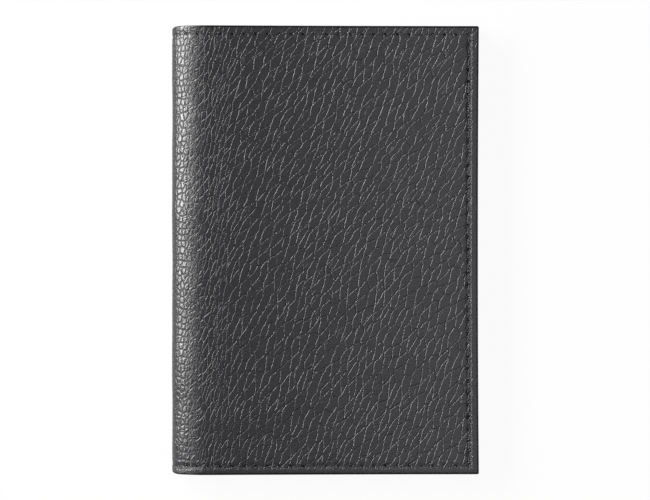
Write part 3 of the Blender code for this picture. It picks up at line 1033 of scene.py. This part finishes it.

# %% [markdown]
# ## Board and thread
#
# The board is grey-brown pulp with long fibres. The thread is two waxed strands: its colour is a
# little lighter than the hide, with painted shade in the strands' valleys and painted highlight on
# their crests.

# %% The stiffener board
FIBRE_STRETCH = (300.0, 1800.0, 1800.0)
FLECK_HEIGHT = 0.00003
PULP = [colour(0.24, 0.21, 0.17), colour(0.36, 0.33, 0.28)]
PULP_ROUGHNESS = (0.85, 0.95)

board_card, tree, shader = new_material("pulp_board")
where = add(tree, "ShaderNodeTexCoord").outputs["Object"]
fibres = noise(tree, vector(tree, "MULTIPLY", where, FIBRE_STRETCH), 1.0, 4.0)
put(tree, shader.inputs["Base Color"], mix_colour(tree, fibres, *PULP))
put(tree, shader.inputs["Roughness"], fade(tree, fibres, 0.3, 0.7, *PULP_ROUGHNESS))
raise_relief(tree, shader, fibres, FLECK_HEIGHT, 0.6)
for side in ("back", "front"):
    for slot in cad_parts[f"{side}_board"].material_slots:
        slot.material = board_card
print(board_card.name, len(tree.nodes), "nodes")

# %% The waxed thread
FUZZ_HEIGHT = 0.00004
FUZZ_SCALE = 5.0
WAX_IN_SHADE_AND_HIGHLIGHT = [colour(0.018, 0.018, 0.019), colour(0.062, 0.060, 0.064)]
WAX_ROUGHNESS = (0.38, 0.55)

thread_twist, tree, shader = new_material("waxed_thread")
strand = add(tree, "ShaderNodeAttribute", attribute_name="strand").outputs["Fac"]
place = add(tree, "ShaderNodeAttribute", attribute_name="sheet").outputs["Vector"]
fuzz = noise(tree, place, FUZZ_SCALE, 3.0)
# Painted shade and highlight: darker where the two strands meet, lighter on each strand's crest.
lit = times(tree, strand, fade(tree, fuzz, 0.2, 0.8, 0.7, 1.0))
put(tree, shader.inputs["Base Color"], mix_colour(tree, lit, *WAX_IN_SHADE_AND_HIGHLIGHT))
put(tree, shader.inputs["Roughness"], fade(tree, fuzz, 0.3, 0.7, *WAX_ROUGHNESS))
raise_relief(tree, shader, fuzz, FUZZ_HEIGHT, 0.5)
print(thread_twist.name, len(tree.nodes), "nodes")

# %% [markdown]
# ## Hanging the layers on the cover
#
# A leaf rides on its own body. Over the fold the leather bends, so the skin there is parted into
# six zones, each with one fold line in its middle; each zone is left where it lies on the closed
# cover and hung on no body.

# %% Zones of the fold
STOOD_FOR = [(1,), (2,), (3,), (4, 5), (6,), (7,)]


def bend_zone(piece):
    """Bakes a zone of the fold into its place on the closed cover."""
    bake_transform(piece)


def dress(layer, seen, unseen, outward, step, material):
    """Weaves one layer over both leaves and the fold and hangs its two leaf parts on their bodies."""
    runs, marks = cover_runs(step)
    spine_names = [f"spine_{layer}_skin_{number}" for number in range(1, FOLD_LINES + 1)]
    names = [f"back_{layer}_skin", *spine_names, f"front_{layer}_skin"]
    faces = 0
    for number, (name, *part) in enumerate(zip(names, marks, marks[1:])):
        piece = weave(name, runs, height_lines(step), part, seen, unseen, outward)
        piece.data.materials.append(material)
        if name in spine_names:
            bend_zone(piece)
            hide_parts(*(f"spine_{layer}_{strip_number}" for strip_number in STOOD_FOR[number - 1]))
        else:
            side = "front" if number else "back"
            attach(piece, f"{side}_leaf")
            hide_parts(f"{side}_{layer}")
        faces += len(piece.data.polygons)
    print(f"{layer}: {len(names)} parts, {faces} faces")


dress(
    "shell",
    seen=shell_outside,
    unseen=shell_inside,
    outward=True,
    step=SHELL_GRID,
    material=shell_leather,
)
dress(
    "lining",
    seen=lining_inside,
    unseen=lining_outside,
    outward=False,
    step=INNER_GRID,
    material=lining_leather,
)

# %% [markdown]
# ## The sleeves
#
# Each sleeve is sewn on three sides and open towards the spine. Its mouth is a cut edge too, with
# a line creased beside it by a hot iron. It is the only layer one can look into, so it is closed
# all round.


# %% Weave the two sleeves
MOUTH_LINES = np.array([0.0, 0.06, 0.2, 0.5, 1.0])
CREASE_BAND = 0.001
CREASE_BAND_GRID = 0.0002


def sleeve_runs(front):
    near = edge_lines(INNER_GRID)
    crease_at = SLEEVE_WIDTH - CREASE_FROM_MOUTH
    crease = even_lines(crease_at - CREASE_BAND, crease_at + CREASE_BAND, CREASE_BAND_GRID)
    middle = even_lines(near[-1], crease[0], INNER_GRID)[1:-1]
    mouth = SLEEVE_WIDTH - MOUTH_ROUND * MOUTH_LINES[::-1]
    distances = np.concatenate((near, middle, crease, mouth))
    return FRONT_EDGE - distances[::-1] if front else BACK_EDGE + distances


for side in ("back", "front"):
    runs = sleeve_runs(side == "front")
    piece = weave(
        f"{side}_sleeve_skin",
        runs,
        height_lines(INNER_GRID),
        part=(0, len(runs) - 1),
        seen=sleeve_inside,
        unseen=sleeve_outside,
        outward=False,
        mouth=True,
    )
    piece.data.materials.append(sleeve_leather)
    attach(piece, f"{side}_leaf")
    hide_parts(f"{side}_sleeve")
    print(piece.name, len(piece.data.polygons), "faces")

# %% [markdown]
# ## The seam's two threads
#
# In a lockstitch the needle thread stays outside and the bobbin thread inside, and they cross in
# the leather at each hole. Seen from above each stitch lies a little askew, because a thread
# leaves its slit at one end and enters the next at the other. The cord itself is one tube whose
# figure-of-eight section turns as it goes, which reads as two twisted strands. A curve with a
# bevel would be quicker, but round and lifeless.

# %% Sizes of the thread
THREAD_RADIUS = 0.00021
THREAD_TWIST = 0.0017
STITCH_SKEW = 0.00016
HOLE_DIP = 0.00045
STITCH_SETTLE = 0.00008
RINGS_PER_STITCH = 20
RING_POINTS = 10
STRAND_VALLEY = 0.26
STITCH_RISE = (0.03, 0.18)
STITCH_FALL = (0.60, 0.78)
STITCH_TIGHT = (0.2, 0.7)
NEEDLE_SINK = 0.00004
BOBBIN_SINK = 0.00002
ROWS = {"long": (ROW_START, LONG_PITCH), "short": (-ROW_REACH, SHORT_PITCH)}


# %% Lead a thread along a stretch of a row
def stitch_shape(share):
    """How far out a stitch lies and how far aside, from 0 where it rises to 1 at the next hole."""
    rise, fall = ramp(share, *STITCH_RISE), 1 - ramp(share, *STITCH_FALL)
    out = np.minimum(rise, fall)
    return out * out * (3 - 2 * out), STITCH_SKEW * np.cos(math.pi * share)


def stitch_path(kind, fixed, start, end, cloth, sink, inward):
    """The thread's middle as distance along the row, distance across it and depth."""
    begin, pitch = ROWS[kind]
    along = even_lines(start, end, pitch / RINGS_PER_STITCH)
    share = np.mod((along - begin) / pitch + 1e-6, 1.0)
    share = share if kind == "long" else 1 - share
    out, skew = stitch_shape(share)
    row = fixed + 0 * along
    level = cloth(along, row) if kind == "long" else cloth(row, along)
    settle = STITCH_SETTLE * ramp(share, *STITCH_TIGHT) * out
    depth = level + sink + inward * (HOLE_DIP * (1 - out) + settle)
    return np.stack((along, fixed + skew * math.copysign(1, fixed), depth), -1)


def twist_round(path):
    """Rings of points round a path, and how high each point lies on its strand, from 0 to 1."""
    tangent = np.gradient(path, axis=0)
    tangent /= np.linalg.norm(tangent, axis=1, keepdims=True)
    beside = np.cross(tangent, (0.0, 0.0, 1.0))
    beside /= np.linalg.norm(beside, axis=1, keepdims=True)
    lift = np.cross(beside, tangent)
    turn = np.arange(RING_POINTS) * 2 * math.pi / RING_POINTS
    phase = 2 * math.pi * (path[:, 0] - path[0, 0]) / THREAD_TWIST
    lobe = 0.5 + 0.5 * np.cos(2 * (turn[None, :] - phase[:, None]))
    radius = (THREAD_RADIUS * (1 - STRAND_VALLEY + STRAND_VALLEY * lobe))[..., None]
    sideways = radius * np.cos(turn)[None, :, None] * beside[:, None, :]
    outwards = radius * np.sin(turn)[None, :, None] * lift[:, None, :]
    return path[:, None, :] + sideways + outwards, lobe


# %% Twist a whole thread
def twist_thread(name, stretches, cloth, sink, inward):
    """A thread along stretches of the rows as (kind, fixed, start, end) on the flat sheet.

    cloth gives the depth of the face it lies on, sink how much deeper its middle lies than
    that face, and inward is 1 where deeper means into the leather and -1 inside.
    """
    vertices, quads, strands, places = [], [], [], []
    count = 0
    for kind, fixed, start, end in stretches:
        ring, lobe = twist_round(stitch_path(kind, fixed, start, end, cloth, sink, inward))
        along, aside, depth = ring[..., 0], ring[..., 1], ring[..., 2]
        points = bend(along, aside, depth) if kind == "long" else bend(aside, along, depth)
        vertices.append(points.reshape(-1, 3))
        strands.append(lobe.reshape(-1))
        places.append(ring.reshape(-1, 3) / MM)
        index = count + np.arange(along.size).reshape(along.shape)
        quads.append(strip(index, np.roll(index, -1, axis=1)).reshape(-1, 4))
        count += index.size
    mesh = mesh_of(name, vertices, quads)
    face_outwards(mesh, RING_POINTS)
    mesh.shade_smooth()
    keep(mesh, "sheet", np.concatenate(places))
    keep(mesh, "strand", np.concatenate(strands))
    mesh.materials.append(thread_twist)
    piece = place_piece(name, mesh)
    return piece


# %% Sew both threads
MOUTH_STEP = (-0.0001, 0.0009)


def inner_face(run, height):
    """The face the bobbin thread lies on: the sleeve's, and the lining's beyond its mouth."""
    beyond = ramp(from_fore_edge(run) - SLEEVE_WIDTH, *MOUTH_STEP)
    return sleeve_inside(run, height) * (1 - beyond) + lining_inside(run, height) * beyond


def long_rows(start, end):
    return [("long", ROW_REACH, start, end), ("long", -ROW_REACH, start, end)]


def sew(thread, cloth, sink, inward):
    leaves = [("back", ROW_START, 0.0, ROW_START), ("front", FOLD_END, ROW_END, ROW_END)]
    for side, start, end, fixed in leaves:
        stretches = [*long_rows(start, end), ("short", fixed, -ROW_REACH, ROW_REACH)]
        piece = twist_thread(f"{side}_{thread}_cord", stretches, cloth, sink, inward)
        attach(piece, f"{side}_leaf")
        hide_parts(f"{side}_{thread}_thread")
        print(piece.name, len(piece.data.polygons), "faces")
    for number, (start, end) in enumerate(zip(CUTS, CUTS[1:])):
        name = f"spine_{thread}_cord_{number + 1}"
        piece = twist_thread(name, long_rows(start, end), cloth, sink, inward)
        bend_zone(piece)


sew("needle", shell_outside, NEEDLE_SINK, inward=1)
sew("bobbin", inner_face, BOBBIN_SINK, inward=-1)

# %% [markdown]
# ## Table, light and camera
#
# The photograph looks straight down on a white table, with one large window-like light low on
# the spine side. That low light is what draws the grain. A small lamp on the other side and a
# faint sky keep the rest readable. One could light it with a studio picture of the whole
# surroundings, but two lamps can be moved one by one.

# %% White table
TABLE_GLOW = 0.94
TABLE_SIZE = 6.0
TABLE_DROP = 0.0001
WHITE = colour(1.0, 1.0, 1.0)
TABLE_WHITE = colour(0.94, 0.94, 0.94)
TABLE_ROUGHNESS, TABLE_SHINE = 0.9, 0.1

table, tree, shader = new_material("white_table")
shader.inputs["Base Color"].default_value = TABLE_WHITE
shader.inputs["Roughness"].default_value = TABLE_ROUGHNESS
shader.inputs["Specular IOR Level"].default_value = TABLE_SHINE
glow = add(tree, "ShaderNodeEmission", {"Color": WHITE, "Strength": 1.0})
ray = add(tree, "ShaderNodeLightPath").outputs["Is Camera Ray"]
shown = add(tree, "ShaderNodeMixShader", {"Fac": times(tree, ray, TABLE_GLOW)})
tree.links.new(shader.outputs[0], shown.inputs[1])
tree.links.new(glow.outputs[0], shown.inputs[2])
tree.links.new(shown.outputs[0], tree.nodes["Material Output"].inputs["Surface"])
bpy.ops.mesh.primitive_plane_add(size=TABLE_SIZE, location=(0.0, 0.0, -TABLE_DROP))
floor = bpy.context.object
floor.name = "table_top"
floor.data.materials.append(table)
print(floor.name, TABLE_SIZE, "m wide")


# %% Lamps
def soft_light(name, place, size, radiance):
    """A rectangular lamp that looks at the middle of the cover, by the radiance of its face."""
    lamp = bpy.data.lights.new(name, "AREA")
    lamp.shape = "RECTANGLE"
    lamp.size, lamp.size_y = size
    lamp.energy = radiance * math.pi * size[0] * size[1]
    made = bpy.data.objects.new(name, lamp)
    made.location = place
    made.rotation_euler = (-Vector(place)).to_track_quat("-Z", "Y").to_euler()
    bpy.context.scene.collection.objects.link(made)
    print(name, f"{lamp.energy:.1f} W")


soft_light("window_light", place=(-1.07, 0.50, 0.64), size=(1.26, 0.42), radiance=22.0)
soft_light("side_fill", place=(0.22, -0.05, 0.42), size=(0.3, 0.3), radiance=1.0)

# %% Sky
SKY_LIGHT = 0.05
SKY_SEEN = 1.0

world = bpy.data.worlds.new("studio_sky")
world.use_nodes = True
sky_nodes = world.node_tree
sky = sky_nodes.nodes["Background"]
sky.inputs["Color"].default_value = WHITE
sky.inputs["Strength"].default_value = SKY_LIGHT
seen_sky = add(sky_nodes, "ShaderNodeBackground", {"Color": WHITE, "Strength": SKY_SEEN})
ray = add(sky_nodes, "ShaderNodeLightPath").outputs["Is Camera Ray"]
chosen = add(sky_nodes, "ShaderNodeMixShader", {"Fac": ray})
sky_nodes.links.new(sky.outputs[0], chosen.inputs[1])
sky_nodes.links.new(seen_sky.outputs[0], chosen.inputs[2])
sky_nodes.links.new(chosen.outputs[0], sky_nodes.nodes["World Output"].inputs["Surface"])
bpy.context.scene.world = world
print(world.name, len(sky_nodes.nodes), "nodes")

# %% Camera straight above
CAMERA_RISE = 0.80
CAMERA_ASIDE = (-0.00006, 0.00005)
FIELD_WIDTH = 0.2029
FRONT_LEVEL = 0.008
SENSOR_WIDTH = 36.0

view = bpy.data.cameras.new("overhead")
view.sensor_width = SENSOR_WIDTH
view.lens = SENSOR_WIDTH * CAMERA_RISE / FIELD_WIDTH
camera = bpy.data.objects.new("overhead", view)
camera.location = (*CAMERA_ASIDE, FRONT_LEVEL + CAMERA_RISE)
bpy.context.scene.collection.objects.link(camera)
bpy.context.scene.camera = camera
bpy.context.scene.view_settings.view_transform = "Standard"
print(f"lens {view.lens:.1f} mm")
